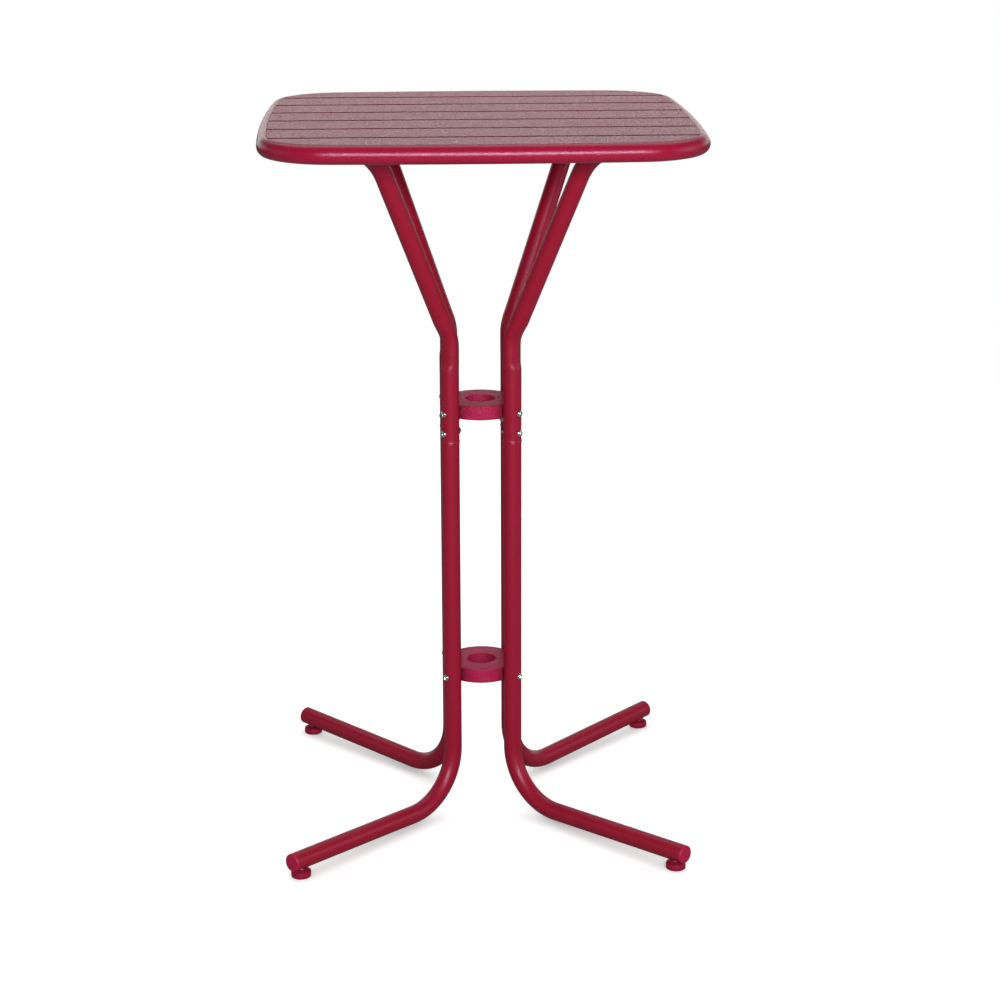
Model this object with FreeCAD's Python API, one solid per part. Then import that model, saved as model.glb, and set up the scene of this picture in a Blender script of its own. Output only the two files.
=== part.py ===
import FreeCAD, Part
import math
import os

from FreeCAD import Vector

# Bar table with a slatted top on four bent tube legs.
# The origin is on the floor under the middle of the top, +Z is up and -Y is the front.
# Lengths are in millimetres and angles in degrees.

# Top
table_height = 1100.0
top_size = 650.0
side_bow_radius = 4000.0
corner_radius = 110.0

# Rim, a hollow bull-nosed profile bent round the top
rim_height = 27.0
rim_width = 14.2
rim_wall = 2.0
rim_inner_edge_radius = 0.5
ledge_width = 8.0
ledge_thickness = 2.5

# Slats, inverted channels with a screw channel between two ribs
slat_count = 7
edge_slat_width = 74.0
slat_gap = 5.5
slat_height = 15.0
slat_wall = 2.0
slat_edge_radius = 3.0
slat_rim_gap = 0.5
screw_rib = 2.0

# Flat cross rails under the slats
rail_thickness = 5.0
rail_end_gap = 2.0
rail_edge_margin = 8.5

# Leg tubes
tube_diameter = 28.0
tube_wall = 2.0
leg_circle = 134.4
arm_bend_radius = 90.0
upper_bend_height = 770.0
upper_bend_radius = 60.0
press_start_angle = 55.0
press_seam = 0.3
tongue_length = 58.0
tongue_corner_radius = 10.0
tongue_hole_setback = 22.0

# Plug joint between an upper and a lower leg
joint_height = 609.0
joint_gap = 0.2
joint_bolt_rise = 15.0
upper_ring_rise = 46.0
spigot_end_margin = 16.0
spigot_clearance = 0.15
shoulder_radius = 2.0
spigot_chamfer = 1.5

# Foot run of a lower leg
foot_bend_radius = 88.0
foot_reach = 348.0
foot_rise_angle = 1.75

# Spacer rings between the four legs
ring_thickness = 22.0
ring_bore = 46.0
ring_bite = 2.0
ring_edge_radius = 1.2
lower_ring_height = 227.0
seat_clearance = 0.1

# Bolts and screws
bolt_diameter = 6.0
bolt_hole_clearance = 0.2
bolt_head_diameter = 10.5
bolt_head_height = 3.6
head_side_share = 0.4
head_flat_share = 0.45
bolt_tip_length = 2.0
thread_clearance = 0.05
nut_width = 10.0
nut_height = 5.0
nut_side_gap = 0.5
ring_screw_depth = 14.0
slat_screw_diameter = 4.0
slat_screw_head_diameter = 7.5
slat_screw_head_height = 2.4
slat_screw_depth = 9.0
slat_screw_side_gap = 0.8

# End plugs of the foot runs
cap_head = 4.0
cap_edge_radius = 2.5
cap_plug_length = 7.0
cap_plug_clearance = 0.15

# Screw-in levelling feet
pad_diameter = 30.0
pad_height = 11.0
pad_slope_height = 1.5
pad_hub_diameter = 20.0
pad_edge_radius = 2.0
pad_setback = 15.0
pad_tube_gap = 1.5
stud_diameter = 8.0
stud_seat_depth = 5.0
stud_length = 29.0
stud_running_clearance = 0.05
insert_diameter = 12.0
insert_length = 15.5

# Sizes that follow from the ones above
half_top = top_size / 2.0
rim_bottom = table_height - rim_height
slat_bottom = table_height - slat_height
rail_bottom = slat_bottom - rail_thickness
tube_radius = tube_diameter / 2.0
bore_radius = tube_radius - tube_wall
leg_radius = leg_circle / 2.0
bolt_radius = bolt_diameter / 2.0
slat_screw_radius = slat_screw_diameter / 2.0
slat_screw_head_radius = slat_screw_head_diameter / 2.0
nut_corner = nut_width / math.sqrt(3.0)
field_inset = rim_width + slat_rim_gap
ledge_inset = rim_width + ledge_width

# The inner slats share what the two edge slats leave of the field
field_half = half_top - field_inset
inner_slat_count = slat_count - 2
inner_field = 2.0 * (field_half - edge_slat_width - slat_gap)
slat_width = (inner_field - (inner_slat_count - 1) * slat_gap) / inner_slat_count

# The plug joint and what is bolted to it
joint_bolt_height = joint_height + joint_bolt_rise
upper_ring_height = joint_height + upper_ring_rise
spigot_length = upper_ring_rise + spigot_end_margin
spigot_radius = bore_radius - spigot_clearance

# The pressed arm ends lie flat under the cross rails, and their nuts sit beside a slat's flange
tongue_thickness = 2.0 * tube_wall + press_seam
tongue_width = math.pi * (tube_diameter - tube_wall) / 2.0 + tube_wall
rail_offset = inner_field / 2.0 - slat_wall - nut_corner - nut_side_gap
arm_bolt_x = rail_offset * math.sqrt(2.0)
tongue_end_x = arm_bolt_x + tongue_hole_setback
tongue_start_x = tongue_end_x - tongue_length

# The slat screws pass the pressed arm ends on the outer side
screw_row = inner_field / 2.0 - slat_width / 2.0
screw_clear = tongue_width / 2.0 + slat_screw_head_radius + slat_screw_side_gap
slat_screw_offset = max(rail_offset, screw_row + screw_clear * math.sqrt(2.0))
rail_width = 2.0 * (slat_screw_offset - rail_offset + slat_screw_head_radius + rail_edge_margin)

# The arms splay as far as they need to run into the bend that ends level with the pressed ends
arm_bend_height = rail_bottom - tongue_thickness / 2.0 - arm_bend_radius
splay = math.pi / 8.0
for refinement in range(40):
    arm_bend_start_x = tongue_start_x - arm_bend_radius * math.cos(splay)
    arm_bend_start_height = arm_bend_height + arm_bend_radius * math.sin(splay)
    splay = math.atan2(arm_bend_start_x - leg_radius, arm_bend_start_height - upper_bend_height)

# The foot run rises a little from the bend to its end, and clears its pad
foot_slope = math.tan(math.radians(foot_rise_angle))
tube_underside = pad_height + pad_tube_gap
foot_axis_over_pad = tube_underside + tube_radius / math.cos(math.radians(foot_rise_angle))
foot_end_height = foot_axis_over_pad + pad_setback * foot_slope
foot_corner_height = foot_end_height - foot_reach * foot_slope
foot_end_x = leg_radius + foot_reach
pad_x = foot_end_x - pad_setback
stud_bottom = pad_height - stud_seat_depth
insert_top = tube_underside + insert_length

# The legs stand on the diagonals of the top
corner_angles = {
    "front_left": 225.0,
    "front_right": 315.0,
    "back_right": 45.0,
    "back_left": 135.0,
}

up = Vector(0, 0, 1)
outward = Vector(1, 0, 0)
no_shift = Vector(0, 0, 0)


# Shape helpers

def line(start, end):
    return Part.LineSegment(start, end).toShape()


def arc(start, middle, end):
    return Part.Arc(start, middle, end).toShape()


def cylinder(radius, length, start, direction):
    return Part.makeCylinder(radius, length, start, direction)


def turned(edges, axis_point, axis):
    return Part.Face(Part.Wire(edges)).revolve(axis_point, axis, 360.0)


def at_angle(shape, angle):
    copy = shape.copy()
    copy.rotate(no_shift, up, angle)
    return copy


def at_corners(shape):
    return Part.makeCompound([at_angle(shape, angle) for angle in corner_angles.values()])


def rounded_path(points, radii):
    # Straight runs between the points, joined by a tangent arc at each inner point
    edges = []
    run_start = points[0]
    for before, corner, after, radius in zip(points, points[1:], points[2:], radii):
        arriving = (corner - before).normalize()
        leaving = (after - corner).normalize()
        turn = arriving.getAngle(leaving)
        tangent_length = radius * math.tan(turn / 2.0)
        arc_start = corner - arriving * tangent_length
        arc_end = corner + leaving * tangent_length
        inward = (leaving - arriving).normalize()
        sagitta = radius / math.cos(turn / 2.0) - radius
        edges.append(line(run_start, arc_start))
        edges.append(arc(arc_start, corner + inward * sagitta, arc_end))
        run_start = arc_end
    edges.append(line(run_start, points[-1]))
    return edges


def round_bar(edges, radius):
    first = edges[0]
    start = first.valueAt(first.FirstParameter)
    direction = first.tangentAt(first.FirstParameter)
    section = Part.Wire(Part.makeCircle(radius, start, direction))
    return Part.Wire(edges).makePipeShell([section], True, True)


# Outline of the top: four bowed sides and four corner arcs, all tangent

side_centre = half_top - side_bow_radius
corner_gap = side_bow_radius - corner_radius
corner_centre = (side_centre + math.sqrt(2.0 * corner_gap ** 2 - side_centre ** 2)) / 2.0
side_half_angle = math.degrees(math.atan2(corner_centre, corner_centre - side_centre))


def outline_wire(inset, height):
    edges = []
    for quarter in range(4):
        side = Part.makeCircle(
            side_bow_radius - inset, Vector(side_centre, 0, height), up, -side_half_angle, side_half_angle
        )
        corner = Part.makeCircle(
            corner_radius - inset,
            Vector(corner_centre, corner_centre, height),
            up,
            side_half_angle,
            90.0 - side_half_angle,
        )
        edges.append(at_angle(side, 90.0 * quarter))
        edges.append(at_angle(corner, 90.0 * quarter))
    return Part.Wire(edges)


def outline_reach(inset, across):
    # Distance from the middle to the inset outline, at a place across from the middle
    radius = corner_radius - inset
    corner_start = corner_centre + radius * math.sin(math.radians(side_half_angle))
    if abs(across) > corner_start:
        return corner_centre + math.sqrt(radius ** 2 - (abs(across) - corner_centre) ** 2)
    return side_centre + math.sqrt((side_bow_radius - inset) ** 2 - across ** 2)


# Rim

def rim_section(edge_radius):
    # The outer edge of the top lies at edge_radius from the centre of the bend
    def at(inset, height):
        return Vector(edge_radius - inset, 0, height)

    nose = rim_height / 2.0
    middle = rim_bottom + nose
    ease = rim_inner_edge_radius
    ease_middle = ease * (1.0 - math.sqrt(0.5))
    ledge_top = slat_bottom
    ledge_bottom = slat_bottom - ledge_thickness
    skin = [
        line(at(rim_width - ease, table_height), at(nose, table_height)),
        arc(at(nose, table_height), at(0, middle), at(nose, rim_bottom)),
        line(at(nose, rim_bottom), at(rim_width, rim_bottom)),
        line(at(rim_width, rim_bottom), at(rim_width, ledge_bottom)),
        line(at(rim_width, ledge_bottom), at(ledge_inset, ledge_bottom)),
        line(at(ledge_inset, ledge_bottom), at(ledge_inset, ledge_top)),
        line(at(ledge_inset, ledge_top), at(rim_width, ledge_top)),
        line(at(rim_width, ledge_top), at(rim_width, table_height - ease)),
        arc(
            at(rim_width, table_height - ease),
            at(rim_width - ease_middle, table_height - ease_middle),
            at(rim_width - ease, table_height),
        ),
    ]
    # The chamber follows the nose and ends in a flat wall on the side of the slats
    inner = rim_width - rim_wall
    chamber_reach = math.sqrt((nose - rim_wall) ** 2 - (nose - inner) ** 2)
    chamber = [
        arc(at(inner, middle + chamber_reach), at(rim_wall, middle), at(inner, middle - chamber_reach)),
        line(at(inner, middle - chamber_reach), at(inner, middle + chamber_reach)),
    ]
    wires = [Part.Wire(skin), Part.Wire(chamber)]
    return Part.makeFace(wires, "Part::FaceMakerBullseye")


def rim_bend(edge_radius, centre, start_angle, end_angle):
    bend = rim_section(edge_radius).revolve(no_shift, up, end_angle - start_angle)
    bend = at_angle(bend, start_angle)
    bend.translate(centre)
    return bend


def top_rim():
    side = rim_bend(side_bow_radius, Vector(side_centre, 0, 0), -side_half_angle, side_half_angle)
    corner = rim_bend(
        corner_radius, Vector(corner_centre, corner_centre, 0), side_half_angle, 90.0 - side_half_angle
    )
    bends = []
    for quarter in range(4):
        bends.append(at_angle(side, 90.0 * quarter))
        bends.append(at_angle(corner, 90.0 * quarter))
    rim = bends[0].fuse(bends[1:]).removeSplitter()
    for place in rim_screw_places():
        start = Vector(place.x, place.y, slat_bottom - 2.0 * ledge_thickness)
        rim = rim.cut(cylinder(slat_screw_radius + bolt_hole_clearance, 2.0 * ledge_thickness, start, up))
    return rim


# Slats

def slat_edges(index):
    # Front and back edge of a slat, where the edge slats run on under the rim before they are cut
    if index == 0:
        return -half_top, -field_half + edge_slat_width
    if index == slat_count - 1:
        return field_half - edge_slat_width, half_top
    front = -inner_field / 2.0 + (index - 1) * (slat_width + slat_gap)
    return front, front + slat_width


def screw_line(index):
    # Place of a slat's screw channel across the top
    front, back = slat_edges(index)
    return (max(front, -field_half) + min(back, field_half)) / 2.0


def slat_section(front, back, channel):
    def at(across, height):
        return Vector(-half_top, across, height)

    ease = slat_edge_radius
    ease_middle = ease * (1.0 - math.sqrt(0.5))
    roof = table_height - slat_wall
    channel_half = slat_screw_radius + thread_clearance
    rib_half = channel_half + screw_rib
    underside = [
        at(back, table_height - ease),
        at(back, slat_bottom),
        at(back - slat_wall, slat_bottom),
        at(back - slat_wall, roof),
        at(channel + rib_half, roof),
        at(channel + rib_half, slat_bottom),
        at(channel + channel_half, slat_bottom),
        at(channel + channel_half, roof),
        at(channel - channel_half, roof),
        at(channel - channel_half, slat_bottom),
        at(channel - rib_half, slat_bottom),
        at(channel - rib_half, roof),
        at(front + slat_wall, roof),
        at(front + slat_wall, slat_bottom),
        at(front, slat_bottom),
        at(front, table_height - ease),
    ]
    edges = [line(start, end) for start, end in zip(underside, underside[1:])]
    edges.append(
        arc(
            at(front, table_height - ease),
            at(front + ease_middle, table_height - ease_middle),
            at(front + ease, table_height),
        )
    )
    edges.append(line(at(front + ease, table_height), at(back - ease, table_height)))
    edges.append(
        arc(
            at(back - ease, table_height),
            at(back - ease_middle, table_height - ease_middle),
            at(back, table_height - ease),
        )
    )
    return Part.Face(Part.Wire(edges))


def slat(index):
    front, back = slat_edges(index)
    bar = slat_section(front, back, screw_line(index)).extrude(outward * top_size)
    field = Part.Face(outline_wire(field_inset, slat_bottom)).extrude(up * slat_height)
    return bar.common(field)


# Cross rails and the screws that hold the top together

def rail_half_length():
    outer_edge = rail_offset + rail_width / 2.0
    return outline_reach(ledge_inset + rail_end_gap, outer_edge)


def slat_screw_places():
    rows = [screw_line(index) for index in range(slat_count)]
    return [Vector(side * slat_screw_offset, row, rail_bottom) for side in (-1, 1) for row in rows]


def rim_screw_places():
    places = []
    for index in range(slat_count):
        row = screw_line(index)
        x = outline_reach(rim_width + ledge_width / 2.0, row)
        for side in (-1, 1):
            places.append(Vector(side * x, row, slat_bottom - ledge_thickness))
    return places


def cross_rail(side):
    half_length = rail_half_length()
    corner = Vector(side * rail_offset - rail_width / 2.0, -half_length, rail_bottom)
    rail = Part.makeBox(rail_width, 2.0 * half_length, rail_thickness, corner)
    for place in slat_screw_places():
        rail = rail.cut(cylinder(slat_screw_radius + bolt_hole_clearance, rail_thickness, place, up))
    for end in (-1, 1):
        place = Vector(side * rail_offset, end * rail_offset, rail_bottom)
        rail = rail.cut(cylinder(bolt_radius + bolt_hole_clearance, rail_thickness, place, up))
    return rail


def pan_head(radius, height, seat, direction):
    # Pan head: a short straight side, a rounded shoulder and a flat top
    side = height * head_side_share
    flat = radius * head_flat_share
    shoulder = Vector(
        flat + (radius - flat) * math.sqrt(0.5),
        0,
        side + (height - side) * math.sqrt(0.5),
    )
    edges = [
        line(no_shift, Vector(radius, 0, 0)),
        line(Vector(radius, 0, 0), Vector(radius, 0, side)),
        arc(Vector(radius, 0, side), shoulder, Vector(flat, 0, height)),
        line(Vector(flat, 0, height), Vector(0, 0, height)),
        line(Vector(0, 0, height), no_shift),
    ]
    head = turned(edges, no_shift, up)
    head.Placement = FreeCAD.Placement(seat, FreeCAD.Rotation(up, direction))
    return head


def screw(seat, direction, length, radius, head_radius, head_height):
    # The head lies behind the seat and the shank runs along the direction
    shank = cylinder(radius, length, seat, direction)
    return pan_head(head_radius, head_height, seat, direction * -1.0).fuse(shank)


def slat_fixings(places, through):
    screws = []
    for place in places:
        length = through + slat_screw_depth
        screws.append(
            screw(
                place,
                up,
                length,
                slat_screw_radius,
                slat_screw_head_radius,
                slat_screw_head_height,
            )
        )
    return Part.makeCompound(screws)


# Upper legs

def arm_bend_side(lean):
    # From the middle of an arm's bend towards its tube, where the tube leans this far from upright
    return Vector(-math.cos(lean), 0, math.sin(lean))


def arm_bend_point(lean):
    return Vector(tongue_start_x, 0, arm_bend_height) + arm_bend_side(lean) * arm_bend_radius


def pressed_section(lean, progress, shrink):
    # Tube section on its way from round to flat; shrink gives the inside of the wall
    ease = progress * progress * (3.0 - 2.0 * progress)
    flat_height = tongue_thickness / 2.0
    flat_width = tongue_width / 2.0
    height = tube_radius + (flat_height - tube_radius) * ease
    width = tube_radius + (flat_width - tube_radius) * ease
    round_corner = tube_radius * math.sqrt(0.5)
    corner_y = round_corner + (flat_width - flat_height - round_corner) * ease
    corner_z = round_corner + (flat_height - round_corner) * ease
    centre = arm_bend_point(lean)
    side = arm_bend_side(lean)

    def at(y, z):
        return centre + Vector(0, y * (width - shrink) / width, 0) + side * (z * (height - shrink) / height)

    def across(y_start, y_end, z_ends, z_middle):
        if abs(z_middle) - abs(z_ends) < 1e-6:
            return line(at(y_start, z_ends), at(y_end, z_ends))
        return arc(at(y_start, z_ends), at(0, z_middle), at(y_end, z_ends))

    return Part.Wire(
        [
            across(-corner_y, corner_y, corner_z, height),
            arc(at(corner_y, corner_z), at(width, 0), at(corner_y, -corner_z)),
            across(corner_y, -corner_y, -corner_z, -height),
            arc(at(-corner_y, -corner_z), at(-width, 0), at(-corner_y, corner_z)),
        ]
    )


def pressed_end(shrink):
    steps = 6
    start = math.radians(press_start_angle)
    sections = []
    for step in range(steps + 1):
        progress = step / steps
        lean = start + (math.pi / 2.0 - start) * progress
        sections.append(pressed_section(lean, progress, shrink))
    return Part.makeLoft(sections, True, False)


def tongue():
    flat = Part.Face(pressed_section(math.pi / 2.0, 1.0, 0.0)).extrude(outward * tongue_length)
    half_width = tongue_width / 2.0
    corner = Vector(tongue_start_x, -half_width, rail_bottom - tongue_thickness)
    plan = Part.makeBox(tongue_length, tongue_width, tongue_thickness, corner)
    end_edges = [
        edge
        for edge in plan.Edges
        if edge.CenterOfMass.x > tongue_end_x - 1e-6 and abs(edge.tangentAt(0).z) > 0.5
    ]
    flat = flat.common(plan.makeFillet(tongue_corner_radius, end_edges))
    bottom = Vector(arm_bolt_x, 0, rail_bottom - tongue_thickness)
    return flat.cut(cylinder(bolt_radius + bolt_hole_clearance, tongue_thickness, bottom, up))


def radial_hole(height, radius):
    start = Vector(leg_radius - tube_diameter, 0, height)
    return cylinder(radius, 2.0 * tube_diameter, start, outward)


def upper_leg():
    path = rounded_path(
        [
            Vector(leg_radius, 0, joint_height + joint_gap),
            Vector(leg_radius, 0, upper_bend_height),
            arm_bend_point(splay),
        ],
        [upper_bend_radius],
    )
    press_start = math.radians(press_start_angle)
    bend_middle = arm_bend_point((splay + press_start) / 2.0)
    path.append(arc(arm_bend_point(splay), bend_middle, arm_bend_point(press_start)))
    body = round_bar(path, tube_radius).fuse([pressed_end(0.0), tongue()])
    hollow = round_bar(path, bore_radius).fuse(pressed_end(tube_wall))
    leg = body.cut(hollow)
    hole_radius = bolt_radius + bolt_hole_clearance
    for height in (upper_ring_height, joint_bolt_height):
        leg = leg.cut(radial_hole(height, hole_radius))
    return leg


# Lower legs

def spigot():
    # Reduced upper end of the lower leg, with a rounded shoulder under the upper leg
    def at(radius, height):
        return Vector(leg_radius + radius, 0, height)

    top = joint_height + spigot_length
    step = tube_radius - spigot_radius
    shoulder_end = joint_height - shoulder_radius
    ease = shoulder_radius * (1.0 - math.sqrt(0.5))
    neck = joint_height - shoulder_radius - step
    edges = [
        line(at(bore_radius, neck), at(tube_radius, neck)),
        line(at(tube_radius, neck), at(tube_radius, shoulder_end)),
        arc(
            at(tube_radius, shoulder_end),
            at(tube_radius - ease, joint_height - ease),
            at(tube_radius - shoulder_radius, joint_height),
        ),
        line(at(tube_radius - shoulder_radius, joint_height), at(spigot_radius, joint_height)),
        line(at(spigot_radius, joint_height), at(spigot_radius, top - spigot_chamfer)),
        line(at(spigot_radius, top - spigot_chamfer), at(spigot_radius - spigot_chamfer, top)),
        line(at(spigot_radius - spigot_chamfer, top), at(spigot_radius - tube_wall, top)),
        line(at(spigot_radius - tube_wall, top), at(spigot_radius - tube_wall, joint_height)),
        line(at(spigot_radius - tube_wall, joint_height), at(bore_radius, neck)),
    ]
    return turned(edges, Vector(leg_radius, 0, 0), up), neck


def foot_path(top):
    return rounded_path(
        [
            Vector(leg_radius, 0, top),
            Vector(leg_radius, 0, foot_corner_height),
            Vector(foot_end_x, 0, foot_end_height),
        ],
        [foot_bend_radius],
    )


def lower_leg():
    end, neck = spigot()
    path = foot_path(neck)
    leg = round_bar(path, tube_radius).cut(round_bar(path, bore_radius)).fuse(end)
    hole_radius = bolt_radius + bolt_hole_clearance
    for height in (upper_ring_height, joint_bolt_height, lower_ring_height):
        leg = leg.cut(radial_hole(height, hole_radius))
    below = Vector(pad_x, 0, 0)
    return leg.cut(cylinder(insert_diameter / 2.0, foot_end_height, below, up)).removeSplitter()


# Rings and their screws

def ring(height):
    outer_radius = leg_radius - tube_radius + ring_bite
    bottom = Vector(0, 0, height - ring_thickness / 2.0)
    disc = cylinder(outer_radius, ring_thickness, bottom, up)
    disc = disc.cut(cylinder(ring_bore / 2.0, ring_thickness, bottom, up))
    disc = disc.makeFillet(ring_edge_radius, [edge for edge in disc.Edges if edge.isClosed()])
    seat = cylinder(tube_radius + seat_clearance, ring_thickness, bottom + outward * leg_radius, up)
    hole_depth = ring_screw_depth + tube_diameter
    tip = Vector(leg_radius - tube_radius - ring_screw_depth, 0, height)
    thread = cylinder(bolt_radius + thread_clearance, hole_depth, tip, outward)
    for angle in corner_angles.values():
        disc = disc.cut(at_angle(seat, angle))
        disc = disc.cut(at_angle(thread, angle))
    return disc


def bolt(seat, direction, length):
    return screw(seat, direction, length, bolt_radius, bolt_head_diameter / 2.0, bolt_head_height)


def nut(seat, direction):
    # Hexagon nut that lies along the direction from its seat
    points = [Vector(nut_corner, 0, 0)]
    for step in range(1, 7):
        angle = math.radians(60.0 * step)
        points.append(Vector(nut_corner * math.cos(angle), nut_corner * math.sin(angle), 0))
    body = Part.Face(Part.makePolygon(points)).extrude(up * nut_height)
    body = body.cut(cylinder(bolt_radius + thread_clearance, nut_height, no_shift, up))
    body.Placement = FreeCAD.Placement(seat, FreeCAD.Rotation(up, direction))
    return body


def ring_screw(height):
    seat = Vector(leg_radius + tube_radius, 0, height)
    return bolt(seat, outward * -1.0, tube_diameter + ring_screw_depth)


def joint_bolt():
    seat = Vector(leg_radius + tube_radius, 0, joint_bolt_height)
    return bolt(seat, outward * -1.0, tube_diameter + nut_height + bolt_tip_length)


def joint_nut():
    return nut(Vector(leg_radius - tube_radius, 0, joint_bolt_height), outward * -1.0)


def arm_bolt():
    seat = Vector(arm_bolt_x, 0, rail_bottom - tongue_thickness)
    return bolt(seat, up, tongue_thickness + rail_thickness + nut_height + bolt_tip_length)


def arm_nut():
    return nut(Vector(arm_bolt_x, 0, slat_bottom), up)


# Feet

def foot_cap():
    # Plug with a rounded head, turned about the axis of the foot run
    def at(along, radius):
        return Vector(along, 0, radius)

    plug_radius = bore_radius - cap_plug_clearance
    ease = cap_edge_radius * (1.0 - math.sqrt(0.5))
    edges = [
        line(at(-cap_plug_length, 0), at(-cap_plug_length, plug_radius)),
        line(at(-cap_plug_length, plug_radius), at(0, plug_radius)),
        line(at(0, plug_radius), at(0, tube_radius)),
        line(at(0, tube_radius), at(cap_head - cap_edge_radius, tube_radius)),
        arc(
            at(cap_head - cap_edge_radius, tube_radius),
            at(cap_head - ease, tube_radius - ease),
            at(cap_head, tube_radius - cap_edge_radius),
        ),
        line(at(cap_head, tube_radius - cap_edge_radius), at(cap_head, 0)),
        line(at(cap_head, 0), at(-cap_plug_length, 0)),
    ]
    cap = turned(edges, no_shift, outward)
    cap.rotate(no_shift, Vector(0, 1, 0), -foot_rise_angle)
    cap.translate(Vector(foot_end_x, 0, foot_end_height))
    return cap


def foot_insert():
    # Threaded bush in the underside of the foot run, trimmed to the round of the tube
    floor_point = Vector(pad_x, 0, 0)
    bush = cylinder(insert_diameter / 2.0, insert_top, floor_point, up)
    bore = cylinder(stud_diameter / 2.0 + stud_running_clearance, insert_top, floor_point, up)
    run = round_bar(foot_path(joint_height), tube_radius)
    return bush.common(run).cut(bore)


def glide_pad():
    def at(radius, height):
        return Vector(pad_x + radius, 0, height)

    pad_radius = pad_diameter / 2.0
    ease = pad_edge_radius * (1.0 - math.sqrt(0.5))
    pad_side_height = pad_height - pad_slope_height
    stud_radius = stud_diameter / 2.0
    edges = [
        line(at(0, 0), at(pad_radius - pad_edge_radius, 0)),
        arc(
            at(pad_radius - pad_edge_radius, 0),
            at(pad_radius - ease, ease),
            at(pad_radius, pad_edge_radius),
        ),
        line(at(pad_radius, pad_edge_radius), at(pad_radius, pad_side_height)),
        line(at(pad_radius, pad_side_height), at(pad_hub_diameter / 2.0, pad_height)),
        line(at(pad_hub_diameter / 2.0, pad_height), at(stud_radius, pad_height)),
        line(at(stud_radius, pad_height), at(stud_radius, stud_bottom)),
        line(at(stud_radius, stud_bottom), at(0, stud_bottom)),
        line(at(0, stud_bottom), at(0, 0)),
    ]
    return turned(edges, Vector(pad_x, 0, 0), up)


def glide_stud():
    return cylinder(stud_diameter / 2.0, stud_length, Vector(pad_x, 0, stud_bottom), up)


# Every piece of the table, each under its own name

def pieces():
    nodes = {"top_rim": top_rim()}
    for index in range(slat_count):
        nodes["slat_%d" % (index + 1)] = slat(index)
    nodes["cross_rail_left"] = cross_rail(-1)
    nodes["cross_rail_right"] = cross_rail(1)
    nodes["slat_screws"] = slat_fixings(slat_screw_places(), rail_thickness)
    nodes["rim_screws"] = slat_fixings(rim_screw_places(), ledge_thickness)
    corner_pieces = {
        "upper_leg": upper_leg(),
        "lower_leg": lower_leg(),
        "foot_cap": foot_cap(),
        "foot_insert": foot_insert(),
        "glide_pad": glide_pad(),
        "glide_stud": glide_stud(),
    }
    for name, shape in corner_pieces.items():
        for corner, angle in corner_angles.items():
            nodes[name + "_" + corner] = at_angle(shape, angle)
    nodes["upper_ring"] = ring(upper_ring_height)
    nodes["lower_ring"] = ring(lower_ring_height)
    nodes["upper_ring_screws"] = at_corners(ring_screw(upper_ring_height))
    nodes["lower_ring_screws"] = at_corners(ring_screw(lower_ring_height))
    nodes["joint_bolts"] = at_corners(joint_bolt())
    nodes["joint_nuts"] = at_corners(joint_nut())
    nodes["arm_bolts"] = at_corners(arm_bolt())
    nodes["arm_nuts"] = at_corners(arm_nut())
    return nodes


os.makedirs("parts", exist_ok=True)
for name, shape in pieces().items():
    shape.exportStep("parts/" + name + ".step")
    print(name, len(shape.Solids), "solids", round(shape.Volume / 1000.0, 2), "cm3", shape.isValid())
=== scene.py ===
import math

import bmesh
import bpy
from mathutils import Matrix, Vector


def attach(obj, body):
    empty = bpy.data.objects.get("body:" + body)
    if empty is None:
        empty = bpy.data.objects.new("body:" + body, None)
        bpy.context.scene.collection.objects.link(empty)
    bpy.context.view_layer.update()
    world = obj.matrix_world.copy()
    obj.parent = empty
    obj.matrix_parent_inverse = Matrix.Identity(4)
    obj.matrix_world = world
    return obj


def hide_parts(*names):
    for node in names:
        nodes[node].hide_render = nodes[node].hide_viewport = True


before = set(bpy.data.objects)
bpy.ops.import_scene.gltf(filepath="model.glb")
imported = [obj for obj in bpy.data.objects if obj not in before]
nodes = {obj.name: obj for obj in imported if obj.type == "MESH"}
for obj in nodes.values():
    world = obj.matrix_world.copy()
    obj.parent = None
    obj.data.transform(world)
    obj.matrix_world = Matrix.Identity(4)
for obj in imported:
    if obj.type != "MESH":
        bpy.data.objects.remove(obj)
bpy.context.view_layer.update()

scene = bpy.context.scene
corners = {"front_left": 225.0, "front_right": 315.0, "back_right": 45.0, "back_left": 135.0}
print("frame loaded", len(nodes), "nodes")


# Shader groups, each built once

noiseMiddle = (0.3, 0.7)
noisePeaks = (0.5, 0.75)


def newGroup(name, inputs, outputs):
    group = bpy.data.node_groups.new(name, "ShaderNodeTree")
    for label, kind, value in inputs:
        socket = group.interface.new_socket(label, in_out="INPUT", socket_type=kind)
        socket.default_value = value
    for label, kind in outputs:
        group.interface.new_socket(label, in_out="OUTPUT", socket_type=kind)
    start = group.nodes.new("NodeGroupInput")
    end = group.nodes.new("NodeGroupOutput")
    return group, start.outputs, end.inputs


def addNode(tree, kind, **settings):
    node = tree.nodes.new(kind)
    for key, value in settings.items():
        setattr(node, key, value)
    return node


def feed(tree, socket, value):
    if isinstance(value, bpy.types.NodeSocket):
        tree.links.new(value, socket)
    else:
        socket.default_value = value


def mathNode(tree, operation, first, second=None, clamp=False):
    node = addNode(tree, "ShaderNodeMath", operation=operation, use_clamp=clamp)
    feed(tree, node.inputs[0], first)
    if second is not None:
        feed(tree, node.inputs[1], second)
    return node.outputs[0]


def noiseNode(tree, vector, scale, detail=2.0, roughness=0.5):
    node = addNode(tree, "ShaderNodeTexNoise")
    feed(tree, node.inputs["Vector"], vector)
    feed(tree, node.inputs["Scale"], scale)
    feed(tree, node.inputs["Detail"], detail)
    feed(tree, node.inputs["Roughness"], roughness)
    return node.outputs["Fac"]


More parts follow.
